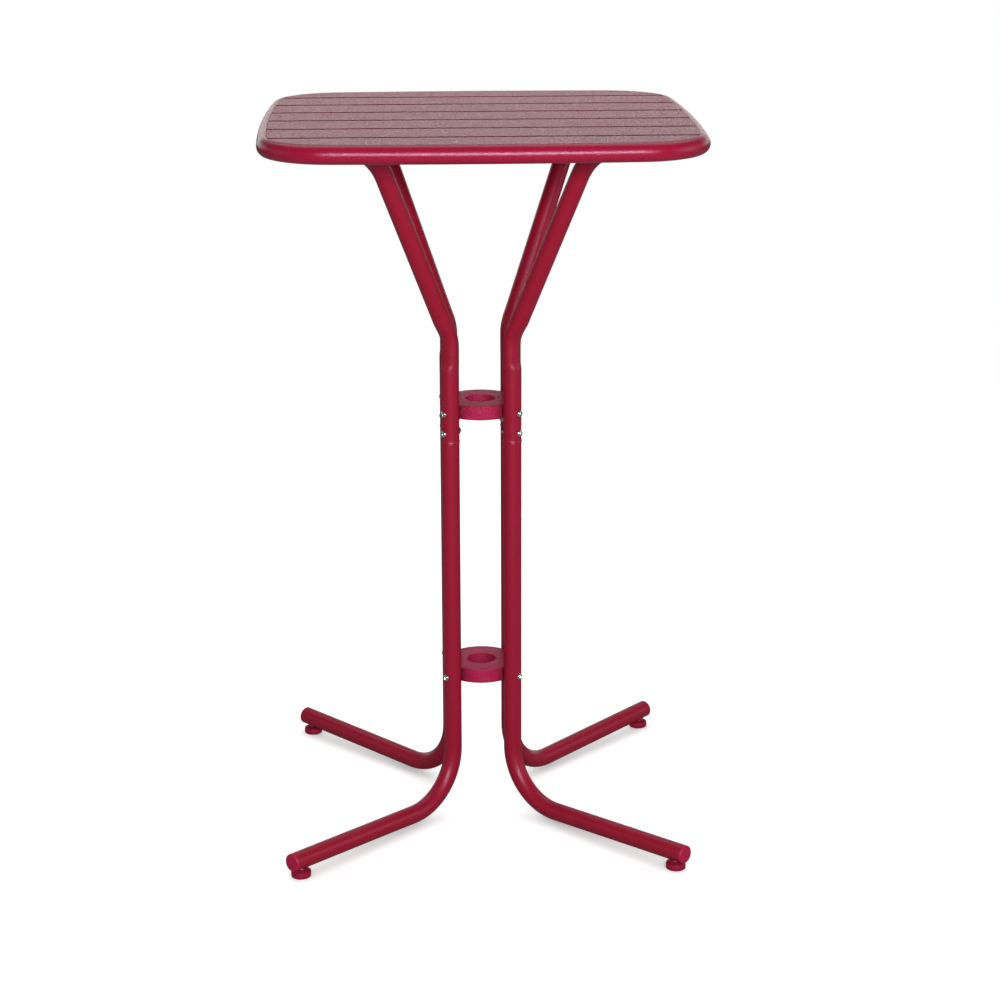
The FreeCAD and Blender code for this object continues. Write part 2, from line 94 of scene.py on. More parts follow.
def rangeNode(tree, value, fromRange, toRange, kind="SMOOTHSTEP"):
    node = addNode(tree, "ShaderNodeMapRange", interpolation_type=kind)
    feed(tree, node.inputs["Value"], value)
    feed(tree, node.inputs["From Min"], fromRange[0])
    feed(tree, node.inputs["From Max"], fromRange[1])
    feed(tree, node.inputs["To Min"], toRange[0])
    feed(tree, node.inputs["To Max"], toRange[1])
    return node.outputs["Result"]


def colourMix(tree, factor, first, second):
    node = addNode(tree, "ShaderNodeMix", data_type="RGBA")
    feed(tree, node.inputs["Factor"], factor)
    feed(tree, node.inputs["A"], first)
    feed(tree, node.inputs["B"], second)
    return node.outputs["Result"]


def turnedPlace(tree):
    # Turned, so that no flat face of the table lies in a plane of the noise's lattice
    turned = addNode(tree, "ShaderNodeMapping")
    turned.inputs["Rotation"].default_value = (0.5, 0.8, 0.3)
    feed(tree, turned.inputs["Vector"], addNode(tree, "ShaderNodeTexCoord").outputs["Object"])
    return turned.outputs["Vector"]


def buildCoatGroup():
    # Powder coat: fine orange peel, a slower waviness of the metal under it, patches of tone, dust-fine flecks and
    # painted shade in crevices
    group, given, result = newGroup(
        "powderCoat",
        [
            ("Colour", "NodeSocketColor", (0.4, 0.02, 0.06, 1.0)),
            ("Patch Colour", "NodeSocketColor", (0.3, 0.02, 0.04, 1.0)),
            ("Fleck Colour", "NodeSocketColor", (0.6, 0.2, 0.25, 1.0)),
            ("Grain Scale", "NodeSocketFloat", 900.0),
            ("Wave Scale", "NodeSocketFloat", 60.0),
            ("Wave Share", "NodeSocketFloat", 0.5),
            ("Patch Scale", "NodeSocketFloat", 14.0),
            ("Patch Amount", "NodeSocketFloat", 0.3),
            ("Fleck Scale", "NodeSocketFloat", 500.0),
            ("Fleck Amount", "NodeSocketFloat", 0.2),
            ("Roughness Low", "NodeSocketFloat", 0.36),
            ("Roughness High", "NodeSocketFloat", 0.5),
            ("Painted Shade Colour", "NodeSocketColor", (0.15, 0.01, 0.015, 1.0)),
            ("Painted Shade Reach", "NodeSocketFloat", 0.02),
            ("Painted Shade Amount", "NodeSocketFloat", 0.0),
        ],
        [
            ("Colour", "NodeSocketColor"),
            ("Roughness", "NodeSocketFloat"),
            ("Height", "NodeSocketFloat"),
        ],
    )
    place = turnedPlace(group)
    grain = noiseNode(group, place, given["Grain Scale"], 3.0, 0.6)
    wave = noiseNode(group, place, given["Wave Scale"], 2.0, 0.5)
    patch = noiseNode(group, place, given["Patch Scale"], 4.0, 0.55)
    fleck = noiseNode(group, place, given["Fleck Scale"], 1.0, 0.5)
    patchMask = mathNode(group, "MULTIPLY", patch, given["Patch Amount"], True)
    fleckMask = mathNode(group, "MULTIPLY", rangeNode(group, fleck, noisePeaks, (0.0, 1.0)), given["Fleck Amount"])
    tone = colourMix(group, patchMask, given["Colour"], given["Patch Colour"])
    tone = colourMix(group, fleckMask, tone, given["Fleck Colour"])
    # Painted shade: darker colour where ambient occlusion finds surfaces close by, in grooves, holes and at joins
    openness = addNode(group, "ShaderNodeAmbientOcclusion", samples=8)
    feed(group, openness.inputs["Distance"], given["Painted Shade Reach"])
    shadedShare = rangeNode(group, openness.outputs["AO"], (0.35, 0.95), (1.0, 0.0), "LINEAR")
    paintedShadeMask = mathNode(group, "MULTIPLY", shadedShare, given["Painted Shade Amount"])
    feed(group, result["Colour"], colourMix(group, paintedShadeMask, tone, given["Painted Shade Colour"]))
    span = (given["Roughness Low"], given["Roughness High"])
    feed(group, result["Roughness"], rangeNode(group, grain, noiseMiddle, span, "LINEAR"))
    raised = mathNode(group, "MULTIPLY", wave, given["Wave Share"])
    feed(group, result["Height"], mathNode(group, "ADD", grain, raised))
    return group


def buildSteelGroup():
    # Bright stainless steel: fine tooling marks, small stains and a little unevenness
    group, given, result = newGroup(
        "brightSteel",
        [
            ("Colour", "NodeSocketColor", (0.7, 0.7, 0.7, 1.0)),
            ("Stain Colour", "NodeSocketColor", (0.4, 0.39, 0.38, 1.0)),
            ("Mark Scale", "NodeSocketFloat", 2500.0),
            ("Stain Scale", "NodeSocketFloat", 300.0),
            ("Roughness Low", "NodeSocketFloat", 0.1),
            ("Roughness High", "NodeSocketFloat", 0.25),
        ],
        [
            ("Colour", "NodeSocketColor"),
            ("Roughness", "NodeSocketFloat"),
            ("Height", "NodeSocketFloat"),
        ],
    )
    place = turnedPlace(group)
    marks = noiseNode(group, place, given["Mark Scale"], 3.0, 0.6)
    stain = noiseNode(group, place, given["Stain Scale"], 3.0, 0.6)
    stainMask = rangeNode(group, stain, noisePeaks, (0.0, 1.0))
    feed(group, result["Colour"], colourMix(group, stainMask, given["Colour"], given["Stain Colour"]))
    span = (given["Roughness Low"], given["Roughness High"])
    feed(group, result["Roughness"], rangeNode(group, marks, noiseMiddle, span, "LINEAR"))
    feed(group, result["Height"], marks)
    return group


coatGroup = buildCoatGroup()
steelGroup = buildSteelGroup()


# Materials

def newMaterial(name):
    material = bpy.data.materials.new(name)
    material.use_nodes = True
    tree = material.node_tree
    return material, tree, tree.nodes["Principled BSDF"]


def groupMaterial(name, group, inputs, surface):
    # The group gives colour, roughness and height, and the surface settings go straight to the shader
    material, tree, shader = newMaterial(name)
    use = addNode(tree, "ShaderNodeGroup", node_tree=group)
    for label, value in inputs.items():
        use.inputs[label].default_value = value
    feed(tree, shader.inputs["Base Color"], use.outputs["Colour"])
    feed(tree, shader.inputs["Roughness"], use.outputs["Roughness"])
    bump = addNode(tree, "ShaderNodeBump")
    bump.inputs["Strength"].default_value = surface["bump"]
    bump.inputs["Distance"].default_value = surface["bumpDepth"]
    feed(tree, bump.inputs["Height"], use.outputs["Height"])
    feed(tree, shader.inputs["Normal"], bump.outputs["Normal"])
    for label, value in surface["shader"].items():
        shader.inputs[label].default_value = value
    return material


redTint = {"Specular IOR Level": 0.5, "Specular Tint": (1.0, 0.75, 1.0, 1.0)}
brightTint = {"Specular IOR Level": 0.62, "Specular Tint": (0.9, 0.75, 1.0, 1.0)}
tubeCoat = groupMaterial("tubeCoat", coatGroup, {
    "Colour": (0.44, 0.008, 0.037, 1.0),
    "Patch Colour": (0.39, 0.007, 0.028, 1.0),
    "Fleck Colour": (0.50, 0.03, 0.07, 1.0),
    "Grain Scale": 900.0,
    "Wave Scale": 70.0,
    "Wave Share": 0.8,
    "Patch Scale": 14.0,
    "Patch Amount": 0.5,
    "Fleck Scale": 600.0,
    "Fleck Amount": 0.2,
    "Roughness Low": 0.29,
    "Roughness High": 0.39,
    # Painted shade where the tubes meet the rings and other parts
    "Painted Shade Amount": 0.6,
    "Painted Shade Reach": 0.012,
}, {"bump": 0.35, "bumpDepth": 0.0004, "shader": redTint})
rimCoat = groupMaterial("rimCoat", coatGroup, {
    "Colour": (0.45, 0.006, 0.045, 1.0),
    "Patch Colour": (0.41, 0.006, 0.035, 1.0),
    "Fleck Colour": (0.52, 0.03, 0.08, 1.0),
    "Grain Scale": 600.0,
    "Wave Scale": 240.0,
    "Wave Share": 0.8,
    "Patch Scale": 10.0,
    "Patch Amount": 0.5,
    "Fleck Scale": 450.0,
    "Fleck Amount": 0.25,
    "Roughness Low": 0.20,
    "Roughness High": 0.30,
}, {"bump": 0.5, "bumpDepth": 0.0005, "shader": brightTint})
# Painted light: the slats carry the tubes' red coat, coloured lighter and pinker in place of the front lamp kept
# off them
slatCoat = groupMaterial("slatCoat", coatGroup, {
    "Colour": (0.58, 0.005, 0.080, 1.0),
    "Patch Colour": (0.50, 0.004, 0.058, 1.0),
    "Fleck Colour": (0.58, 0.10, 0.14, 1.0),
    "Grain Scale": 300.0,
    "Wave Scale": 40.0,
    "Wave Share": 0.6,
    "Patch Scale": 9.0,
    "Patch Amount": 0.5,
    "Fleck Scale": 420.0,
    "Fleck Amount": 0.35,
    "Roughness Low": 0.18,
    "Roughness High": 0.42,
    # Painted shade, near black, in the grooves between the slats and under the top
    "Painted Shade Colour": (0.03, 0.004, 0.007, 1.0),
    "Painted Shade Amount": 1.0,
    "Painted Shade Reach": 0.02,
}, {"bump": 1.0, "bumpDepth": 0.0014, "shader": redTint})
castCoat = groupMaterial("castCoat", coatGroup, {
    "Colour": (0.60, 0.005, 0.085, 1.0),
    "Patch Colour": (0.52, 0.005, 0.062, 1.0),
    "Fleck Colour": (0.68, 0.08, 0.18, 1.0),
    "Grain Scale": 420.0,
    "Wave Scale": 150.0,
    "Wave Share": 1.0,
    "Patch Scale": 30.0,
    "Patch Amount": 0.5,
    "Fleck Scale": 500.0,
    "Fleck Amount": 0.4,
    "Roughness Low": 0.36,
    "Roughness High": 0.62,
    # Painted shade in the rings' bores and where the tubes meet them
    "Painted Shade Amount": 0.85,
    "Painted Shade Reach": 0.045,
}, {"bump": 1.0, "bumpDepth": 0.0012, "shader": redTint})
footPlastic = groupMaterial("footPlastic", coatGroup, {
    "Colour": (0.40, 0.008, 0.050, 1.0),
    "Patch Colour": (0.33, 0.007, 0.038, 1.0),
    "Fleck Colour": (0.44, 0.02, 0.06, 1.0),
    "Grain Scale": 1500.0,
    "Wave Scale": 200.0,
    "Wave Share": 0.4,
    "Patch Scale": 60.0,
    "Patch Amount": 0.4,
    "Fleck Scale": 900.0,
    "Fleck Amount": 0.2,
    "Roughness Low": 0.40,
    "Roughness High": 0.52,
}, {"bump": 0.25, "bumpDepth": 0.0003, "shader": redTint})
# Painted light: the end plugs are coloured lighter and pinker than the tubes, standing in for more light on their
# faces
capPlastic = groupMaterial("capPlastic", coatGroup, {
    "Colour": (0.60, 0.010, 0.078, 1.0),
    "Patch Colour": (0.52, 0.008, 0.060, 1.0),
    "Fleck Colour": (0.62, 0.03, 0.10, 1.0),
    "Grain Scale": 1200.0,
    "Wave Scale": 160.0,
    "Wave Share": 0.5,
    "Patch Scale": 60.0,
    "Patch Amount": 0.4,
    "Fleck Scale": 900.0,
    "Fleck Amount": 0.2,
    "Roughness Low": 0.34,
    "Roughness High": 0.46,
}, {"bump": 0.25, "bumpDepth": 0.0003, "shader": redTint})
steel = groupMaterial("stainlessSteel", steelGroup, {
    "Colour": (0.78, 0.77, 0.76, 1.0),
    "Stain Colour": (0.50, 0.49, 0.48, 1.0),
    "Mark Scale": 2500.0,
    "Stain Scale": 300.0,
    "Roughness Low": 0.10,
    "Roughness High": 0.22,
}, {"bump": 0.2, "bumpDepth": 0.0001, "shader": {"Metallic": 1.0}})
print("materials ready")


# Mesh helpers, in metres

def addLoops(shape, loops, capStart=True, capEnd=True, place=None):
    # Skin over closed loops of equal length, each joined to the next
    first = len(shape["points"])
    count = len(loops[0])
    for loop in loops:
        for point in loop:
            shape["points"].append(place @ point if place else point)
    for row in range(len(loops) - 1):
        for column in range(count):
            a = first + row * count + column
            b = first + row * count + (column + 1) % count
            shape["faces"].append((a, b, b + count, a + count))
    if capStart:
        shape["faces"].append(tuple(range(first + count - 1, first - 1, -1)))
    if capEnd:
        last = first + (len(loops) - 1) * count
        shape["faces"].append(tuple(range(last, last + count)))


def addPiece(name, shape, material, body, replaced, sharp=35.0):
    mesh = bpy.data.meshes.new(name)
    mesh.from_pydata(shape["points"], [], shape["faces"])
    work = bmesh.new()
    work.from_mesh(mesh)
    bmesh.ops.remove_doubles(work, verts=work.verts, dist=1e-7)
    bmesh.ops.recalc_face_normals(work, faces=work.faces)
    work.to_mesh(mesh)
    work.free()
    mesh.polygons.foreach_set("use_smooth", [True] * len(mesh.polygons))
    mesh.set_sharp_from_angle(angle=math.radians(sharp))
    mesh.materials.append(material)
    piece = bpy.data.objects.new(name, mesh)
    scene.collection.objects.link(piece)
    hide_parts(*replaced)
    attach(piece, body)
    return piece


def newShape():
    return {"points": [], "faces": []}


def turnedLoop(radius, height, count):
    # The radius is a length, or a function of the angle where the loop isn't round
    loop = []
    for step in range(count):
        angle = 2.0 * math.pi * step / count
        reach = radius(angle) if callable(radius) else radius
        loop.append(Vector((reach * math.cos(angle), reach * math.sin(angle), height)))
    return loop


def hexagon(acrossFlats):
    def reach(angle):
        turn = (angle % (math.pi / 3.0)) - math.pi / 6.0
        return acrossFlats / 2.0 / math.cos(turn)
    return reach


def threadLoops(radius, depth, pitch, start, end, count):
    # Helical thread as loops whose radius follows the helix, fading in and out at its ends
    def ridge(height):
        fade = min(1.0, (height - start) / pitch, (end - height) / pitch)

        def reach(angle):
            turn = (height / pitch - angle / (2.0 * math.pi)) % 1.0
            return radius - depth * max(0.0, fade) * (1.0 - abs(2.0 * turn - 1.0))
        return reach
    steps = max(2, round((end - start) / pitch * 6))
    heights = [start + (end - start) * step / steps for step in range(steps + 1)]
    return [turnedLoop(ridge(height), height, count) for height in heights]


def aim(place, direction):
    return Matrix.Translation(place) @ direction.to_track_quat("Z", "Y").to_matrix().to_4x4()


def outwardAt(angle):
    return Vector((math.cos(math.radians(angle)), math.sin(math.radians(angle)), 0.0))


def smooth(low, high, value):
    t = min(1.0, max(0.0, (value - low) / (high - low)))
    return t * t * (3.0 - 2.0 * t)


# Upper legs: bent tubes with the crush that the bending die leaves inside the lower bend

upperLeg = {
    "legRadius": 0.0672,
    "tubeRadius": 0.014,
    "wall": 0.002,
    "bottom": 0.6092,
    "bendHeight": 0.770,
    "bendRadius": 0.060,
    "armBendRadius": 0.090,
    "pressStart": math.radians(55.0),
    "tongueStart": 0.2787,
    "tongueLength": 0.058,
    "tongueTop": 1.080,
    "tongueThickness": 0.0043,
    "tongueWidth": 0.04284,
    "tongueCorner": 0.010,
    "mouthFlare": 0.0009,
    "mouthLength": 0.005,
    "mouthEdge": 0.0002,
    "mouthSteps": 6,
    "coarseStep": 0.02,
    "fineStart": 0.09,
    "fineStep": 0.002,
    "runStep": 0.003,
    "runSteps": 15,
    "crushDepth": 0.0030,
    "crushSpan": (-0.047, -0.0355, 0.008, 0.036),
    "kinkDepth": 0.0010,
    "kinkLength": 0.006,
    "crushWiden": 0.030,
    "crushPower": 1.2,
    "innerCrushShare": 0.8,
    "arcSteps": 16,
    "armArcSteps": 40,
    "endSteps": 8,
    "quarterSteps": 12,
    "splayGuess": 0.4,
    "splayRounds": 40,
}


def legStations(s):
    # Middle, lean from upright and progress of the pressing, from the joint up to the tongue
    armBendTop = s["tongueTop"] - s["tongueThickness"] / 2.0
    armBendHeight = armBendTop - s["armBendRadius"]
    splay = s["splayGuess"]
    for refinement in range(s["splayRounds"]):
        startX = s["tongueStart"] - s["armBendRadius"] * math.cos(splay)
        startZ = armBendHeight + s["armBendRadius"] * math.sin(splay)
        splay = math.atan2(startX - s["legRadius"], startZ - s["bendHeight"])
    tangent = s["bendRadius"] * math.tan(splay / 2.0)
    bendStart = s["bendHeight"] - tangent
    bendMiddle = bendStart - s["bottom"] + s["bendRadius"] * splay / 2.0
    stations = []

    def add(x, z, lean, progress, along):
        stations.append({"x": x, "z": z, "lean": lean, "progress": progress, "along": along - bendMiddle})

    straight = [0.0, s["mouthEdge"]]
    straight += [s["mouthLength"] * step / s["mouthSteps"] for step in range(1, s["mouthSteps"] + 1)]
    straight += [s["coarseStep"] * step for step in range(1, int(s["fineStart"] / s["coarseStep"]) + 1)]
    fineSteps = int((bendStart - s["bottom"] - s["fineStart"]) / s["fineStep"])
    straight += [s["fineStart"] + s["fineStep"] * step for step in range(fineSteps + 1)]
    for height in straight:
        add(s["legRadius"], s["bottom"] + height, 0.0, 0.0, height)
    along = bendStart - s["bottom"]
    bendX = s["legRadius"] + s["bendRadius"]
    for step in range(1, s["arcSteps"] + 1):
        lean = splay * step / s["arcSteps"]
        x = bendX - s["bendRadius"] * math.cos(lean)
        z = bendStart + s["bendRadius"] * math.sin(lean)
        add(x, z, lean, 0.0, along + s["bendRadius"] * lean)
    along += s["bendRadius"] * splay
    fromX, fromZ = stations[-1]["x"], stations[-1]["z"]
    run = math.hypot(startX - fromX, startZ - fromZ)
    runPlaces = [s["runStep"] * step for step in range(1, s["runSteps"] + 1)]
    coarseStart = s["runStep"] * s["runSteps"]
    runPlaces += [coarseStart + s["coarseStep"] * step for step in range(1, int(run / s["coarseStep"]))]
    for place in [p for p in runPlaces if p < run - s["fineStep"]]:
        share = place / run
        add(fromX + (startX - fromX) * share, fromZ + (startZ - fromZ) * share, splay, 0.0, along + place)
    along += run
    for step in range(s["armArcSteps"] + 1):
        lean = splay + (math.pi / 2.0 - splay) * step / s["armArcSteps"]
        progress = max(0.0, (lean - s["pressStart"]) / (math.pi / 2.0 - s["pressStart"]))
        x = s["tongueStart"] - s["armBendRadius"] * math.cos(lean)
        z = armBendHeight + s["armBendRadius"] * math.sin(lean)
        add(x, z, lean, progress, along + s["armBendRadius"] * (lean - splay))
    return stations


def sectionLoop(s, station, shrink=0.0, narrow=0.0):
    # Round tube on its way to a flat tongue; the crush flattens the side that faces outward
    ease = station["progress"] ** 2 * (3.0 - 2.0 * station["progress"])
    flatHeight = s["tongueThickness"] / 2.0
    flatWidth = s["tongueWidth"] / 2.0
    tube = s["tubeRadius"]
    height = tube + (flatHeight - tube) * ease
    width = tube + (flatWidth - tube) * ease
    sideSpan = math.pi / 4.0
    cornerZ = tube * math.sqrt(0.5) + (flatHeight - tube * math.sqrt(0.5)) * ease
    cornerY = tube * math.sqrt(0.5) + (flatWidth - flatHeight - tube * math.sqrt(0.5)) * ease
    along = station["along"]
    start, deep, leave, gone = s["crushSpan"]
    crush = s["crushDepth"] * smooth(start, deep, along) * (1.0 - smooth(leave, gone, along))
    crush += s["kinkDepth"] * math.exp(-(along / s["kinkLength"]) ** 2)
    if shrink != 0.0:
        crush *= s["innerCrushShare"]
    widen = 1.0 + s["crushWiden"] * crush / s["crushDepth"]
    side = Vector((-math.cos(station["lean"]), 0.0, math.sin(station["lean"])))
    middle = Vector((station["x"], 0.0, station["z"]))
    loop = []
    for quarter in range(4):
        for step in range(s["quarterSteps"]):
            t = -1.0 + 2.0 * step / s["quarterSteps"]
            # The two broad sides bulge from their corners to the height, the two narrow ones to the width
            if quarter % 2 == 0:
                bulge = height - cornerZ
                y = cornerY * math.sin(sideSpan * t) / math.sin(sideSpan)
                z = cornerZ + bulge * (math.cos(sideSpan * t) - math.cos(sideSpan)) / (1.0 - math.cos(sideSpan))
            else:
                bulge = width - cornerY
                turn = sideSpan + (math.pi / 2.0 - sideSpan) * ease
                z = -cornerZ * math.sin(turn * t) / math.sin(turn)
                y = cornerY + bulge * (math.cos(turn * t) - math.cos(turn)) / (1.0 - math.cos(turn))
            if quarter >= 2:
                y, z = -y, -z
            y *= (width - shrink) / width * widen
            z *= (height - shrink) / height
            if z < 0.0 and station["progress"] == 0.0:
                z += crush * (-z / tube) ** s["crushPower"]
            y = max(-flatWidth + narrow, min(flatWidth - narrow, y)) if narrow else y
            loop.append(middle + Vector((0.0, y, 0.0)) + side * z)
    return loop


def buildUpperLeg(name, angle, s):
    stations = legStations(s)
    hollow = [station for station in stations if station["progress"] == 0.0]
    loops = [sectionLoop(s, station, s["wall"]) for station in reversed(hollow)]
    for station in stations:
        # The mouth is flared a little where the lower leg was driven in
        flare = max(0.0, 1.0 - (station["z"] - s["bottom"]) / s["mouthLength"])
        loops.append(sectionLoop(s, station, -s["mouthFlare"] * flare ** 2))
    tongueEnd = s["tongueStart"] + s["tongueLength"]
    corner = s["tongueCorner"]
    flat = stations[-1]
    for share in (0.5, 1.0):
        x = s["tongueStart"] + share * (s["tongueLength"] - corner)
        loops.append(sectionLoop(s, dict(flat, x=x)))
    for step in range(1, s["endSteps"] + 1):
        turn = math.pi / 2.0 * step / s["endSteps"]
        x = tongueEnd - corner + corner * math.sin(turn)
        loops.append(sectionLoop(s, dict(flat, x=x), 0.0, corner * (1.0 - math.cos(turn)) + 1e-6))
    shape = newShape()
    addLoops(shape, loops, True, True, Matrix.Rotation(math.radians(angle), 4, "Z"))
    addPiece("upperTube_" + name, shape, tubeCoat, "table", ["upper_leg_" + name], 40.0)


for cornerName, cornerAngle in corners.items():
    buildUpperLeg(cornerName, cornerAngle, upperLeg)
print("upper legs built")


# Bolts and screws with a domed head and a hexagon socket

bolts = {
    "radius": 0.003,
    "headRadius": 0.00525,
    "headHeight": 0.0036,
    "headSide": 0.0008,
    "flatRadius": 0.0027,
    "socket": 0.004,
    "socketDepth": 0.0021,
    "pitch": 0.001,
    "threadDepth": 0.0003,
    "threadLength": 0.012,
    "count": 48,
}
slatScrews = {
    "radius": 0.002,
    "headRadius": 0.00375,
    "headHeight": 0.0024,
    "headSide": 0.0006,
    "flatRadius": 0.0020,
    "socket": 0.0028,
    "socketDepth": 0.0014,
    "pitch": 0.0008,
    "threadDepth": 0.0003,
    "threadLength": 0.004,
    "count": 24,
}
screwEdges = {
    "tipShare": 0.75,
    "tipRise": 0.0004,
    "threadRise": 0.0005,
    "neckShare": 1.06,
    "edge": 0.0002,
    "socketEdge": 0.00015,
    "domeSteps": 8,
}


def screwLoops(s, length):
    # The seat is at zero, the head stands above it and the shank hangs below
    count = s["count"]
    edge = screwEdges["edge"]
    tip = -length
    threadStart = tip + screwEdges["threadRise"]
    threadEnd = tip + s["threadLength"]
    loops = [turnedLoop(s["radius"] * screwEdges["tipShare"], tip, count)]
    loops.append(turnedLoop(s["radius"] - s["threadDepth"], tip + screwEdges["tipRise"], count))
    loops += threadLoops(s["radius"], s["threadDepth"], s["pitch"], threadStart, threadEnd, count)
    loops.append(turnedLoop(s["radius"], -edge, count))
    loops.append(turnedLoop(s["radius"] * screwEdges["neckShare"], 0.0, count))
    loops.append(turnedLoop(s["headRadius"] - edge, 0.0, count))
    loops.append(turnedLoop(s["headRadius"], edge, count))
    rise = s["headHeight"] - s["headSide"]
    for step in range(screwEdges["domeSteps"] + 1):
        turn = math.pi / 2.0 * step / screwEdges["domeSteps"]
        reach = s["flatRadius"] + (s["headRadius"] - s["flatRadius"]) * math.cos(turn)
        loops.append(turnedLoop(reach, s["headSide"] + rise * math.sin(turn), count))
    wrench = hexagon(s["socket"])
    loops.append(turnedLoop(hexagon(s["socket"] + edge), s["headHeight"], count))
    loops.append(turnedLoop(wrench, s["headHeight"] - screwEdges["socketEdge"], count))
    loops.append(turnedLoop(wrench, s["headHeight"] - s["socketDepth"], count))
    return loops


def buildBolts(name, node, s, length, seats):
    shape = newShape()
    loops = screwLoops(s, length)
    for seat, direction in seats:
        addLoops(shape, loops, True, True, aim(seat, direction))
    addPiece(name, shape, steel, "table", [node], 40.0)


legBolts = {
    "ringScrewLength": 0.042,
    "upperRingHeight": 0.655,
    "lowerRingHeight": 0.227,
    "jointBoltLength": 0.035,
    "jointHeight": 0.624,
    "armBoltLength": 0.0163,
    "armBoltReach": 0.3147,
    "armBoltSeat": 1.0757,
    "armNutSeat": 1.085,
}
upward = Vector((0, 0, 1))
down = Vector((0, 0, -1))


def legSeats(reach, height, direction=None):
    # One seat at each leg, which faces outward where no direction is given
    ways = [outwardAt(angle) for angle in corners.values()]
    return [(way * reach + upward * height, way if direction is None else direction) for way in ways]


tubeFace = upperLeg["legRadius"] + upperLeg["tubeRadius"]
upperSeats = legSeats(tubeFace, legBolts["upperRingHeight"])
lowerSeats = legSeats(tubeFace, legBolts["lowerRingHeight"])
jointSeats = legSeats(tubeFace, legBolts["jointHeight"])
armSeats = legSeats(legBolts["armBoltReach"], legBolts["armBoltSeat"], down)
buildBolts("upperRingScrews", "upper_ring_screws", bolts, legBolts["ringScrewLength"], upperSeats)
buildBolts("lowerRingScrews", "lower_ring_screws", bolts, legBolts["ringScrewLength"], lowerSeats)
buildBolts("jointBolts", "joint_bolts", bolts, legBolts["jointBoltLength"], jointSeats)
buildBolts("armBolts", "arm_bolts", bolts, legBolts["armBoltLength"], armSeats)

top = {
    "half": 0.325,
    "bow": 4.0,
    "corner": 0.110,
    "screwInset": 0.0182,
    "rows": (-0.2733, -0.18684, -0.09342, 0.0, 0.09342, 0.18684, 0.2733),
    "railScrewX": 0.22357,
    "railBottom": 1.080,
    "railScrewLength": 0.014,
    "ledgeBottom": 1.0825,
    "ledgeScrewLength": 0.0115,
}


def rimReach(s, row):
    # Distance from the middle to the line of the rim's screws, at a place across the top
    sideCentre = s["half"] - s["bow"]
    gap = s["bow"] - s["corner"]
    cornerCentre = (sideCentre + math.sqrt(2.0 * gap ** 2 - sideCentre ** 2)) / 2.0
    radius = s["corner"] - s["screwInset"]
    cornerStart = cornerCentre + radius * cornerCentre / gap
    if abs(row) > cornerStart:
        return cornerCentre + math.sqrt(radius ** 2 - (abs(row) - cornerCentre) ** 2)
    return sideCentre + math.sqrt((s["bow"] - s["screwInset"]) ** 2 - row ** 2)


railSeats = [(Vector((x, row, top["railBottom"])), down)
             for x in (-top["railScrewX"], top["railScrewX"]) for row in top["rows"]]
buildBolts("slatScrews", "slat_screws", slatScrews, top["railScrewLength"], railSeats)
rimSeats = [(Vector((side * rimReach(top, row), row, top["ledgeBottom"])), down)
            for row in top["rows"] for side in (-1, 1)]
buildBolts("rimScrews", "rim_screws", slatScrews, top["ledgeScrewLength"], rimSeats)
print("bolts built")


# Hexagon nuts, chamfered on both faces

nuts = {
    "acrossFlats": 0.010,
    "height": 0.005,
    "bore": 0.003,
    "boreEdge": 0.0003,
    "faceShare": 0.95,
    "chamferRise": 0.58,
    "chamferSteps": 6,
    "count": 72,
}


def nutLoops(s):
    flat = hexagon(s["acrossFlats"])
    face = s["acrossFlats"] / 2.0 * s["faceShare"]
    span = s["acrossFlats"] / math.sqrt(3.0) - face

    def level(depth):
        cone = face + depth / s["chamferRise"]
        return lambda angle: min(flat(angle), cone)

    loops = [turnedLoop(s["bore"], 0.0, s["count"])]
    steps = [span * s["chamferRise"] * step / s["chamferSteps"] for step in range(s["chamferSteps"] + 1)]
    loops += [turnedLoop(level(depth), depth, s["count"]) for depth in steps]
    loops += [turnedLoop(level(depth), s["height"] - depth, s["count"]) for depth in reversed(steps)]
    loops.append(turnedLoop(s["bore"] + s["boreEdge"], s["height"], s["count"]))
    loops.append(turnedLoop(s["bore"], s["height"] - s["boreEdge"], s["count"]))
    loops.append(loops[0])
    return loops


def buildNuts(name, node, seats):
    shape = newShape()
    for seat, direction in seats:
        addLoops(shape, nutLoops(nuts), False, False, aim(seat, direction))
    addPiece(name, shape, steel, "table", [node], 25.0)


innerFace = upperLeg["legRadius"] - upperLeg["tubeRadius"]
nutSeats = [(seat, -way) for seat, way in legSeats(innerFace, legBolts["jointHeight"])]
buildNuts("jointNuts", "joint_nuts", nutSeats)
buildNuts("armNuts", "arm_nuts", legSeats(legBolts["armBoltReach"], legBolts["armNutSeat"], upward))


# Levelling feet: a moulded pad with a parting line and a tread, and a threaded stud

feet = {
    "reach": 0.4002,
    "padRadius": 0.015,
    "padHeight": 0.011,
    "padShoulder": 0.0015,
    "bottomEdge": 0.002,
    "bottomSteps": 6,
    "topEdge": 0.0012,
    "topSteps": 4,
    "hubRadius": 0.010,
    "hubEdge": (0.0006, 0.0002),
    "holeShare": 0.95,
    "holeDepth": 0.0008,
    "partingHeight": 0.0055,
    "partingDepth": 0.00015,
    "partingSpan": (0.0001, 0.0003),
    "treadRadius": 0.010,
    "treadMiddle": 0.004,
    "treadDepth": 0.0006,
    "studRadius": 0.004,
    "studBottom": 0.006,
    "studLength": 0.029,
    "pitch": 0.00125,
    "threadDepth": 0.0006,
    "threadStart": 0.0002,
    "threadEnd": 0.0008,
    "padCount": 64,
    "studCount": 36,
}


